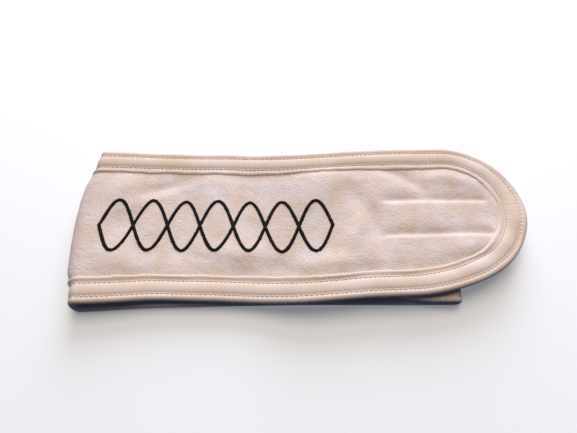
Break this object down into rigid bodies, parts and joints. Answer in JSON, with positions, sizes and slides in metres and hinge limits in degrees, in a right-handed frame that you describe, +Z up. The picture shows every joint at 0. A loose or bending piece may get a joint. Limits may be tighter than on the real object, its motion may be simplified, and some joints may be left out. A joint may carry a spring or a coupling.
{
  "type": "spa headband",
  "caption": "Bound towelling headband with a rounded hook-and-loop tongue, closed and folded flat into a loop.",
  "frame": {"origin": "centre of the resting face, on the surface that the flattened headband lies on", "axes": "+X along the band from the left fold towards the rounded tongue, +Y across the band away from its near edge, +Z up through the layers"},
  "size_m": [0.246, 0.0926, 0.0145],
  "materials": {
    "face_cloth": "cream cotton-polyester velour towelling, short soft pile",
    "lining_cloth": "cream towelling lining, short loop pile",
    "binding": "cream ribbed knit binding tape, matt",
    "thread": "cream spun polyester sewing thread",
    "hook_tape": "white nylon hook tape",
    "loop_tape": "white brushed nylon loop tape",
    "embroidery_thread": "black rayon embroidery thread, satin stitch"
  },
  "bodies": {
    "back_panel": {"back_face_cloth": "face_cloth", "back_lining_cloth": "lining_cloth", "back_binding_near": "binding", "back_stitches_near_outer": "thread", "back_stitches_near_inner": "thread", "back_binding_far": "binding", "back_stitches_far_outer": "thread", "back_stitches_far_inner": "thread"},
    "front_panel": {"front_face_cloth": "face_cloth", "front_lining_cloth": "lining_cloth", "front_binding_near": "binding", "front_stitches_near_outer": "thread", "front_stitches_near_inner": "thread", "front_binding_far": "binding", "front_stitches_far_outer": "thread", "front_stitches_far_inner": "thread", "embroidery": "embroidery_thread"},
    "tab": {"tab_face_cloth": "face_cloth", "tab_lining_cloth": "lining_cloth", "tab_binding": "binding", "tab_stitches_outer": "thread", "tab_stitches_inner": "thread", "hook_tape": "hook_tape", "hook_tape_seam": "thread"},
    "under_flap": {"flap_face_cloth": "face_cloth", "flap_lining_cloth": "lining_cloth", "flap_binding": "binding", "flap_stitches_outer": "thread", "flap_stitches_inner": "thread", "loop_tape": "loop_tape", "loop_tape_seam": "thread"}
  },
  "joints": [
    {"name": "front_fold", "type": "hinge", "parent": "back_panel", "child": "front_panel", "pos_m": [-0.123, 0, 0.0046], "axis": [0, -1, 0], "range_deg": [0, 140]},
    {"name": "tab_peel", "type": "hinge", "parent": "front_panel", "child": "tab", "pos_m": [0.037, 0, 0.0148], "axis": [0, -1, 0], "range_deg": [0, 110]},
    {"name": "flap_fold", "type": "hinge", "parent": "back_panel", "child": "under_flap", "pos_m": [0.082, 0, 0.0046], "axis": [0, 1, 0], "range_deg": [0, 140]}
  ],
  "couplings": [
    {"joint": "flap_fold", "follows": "front_fold", "ratio": 1}
  ]
}
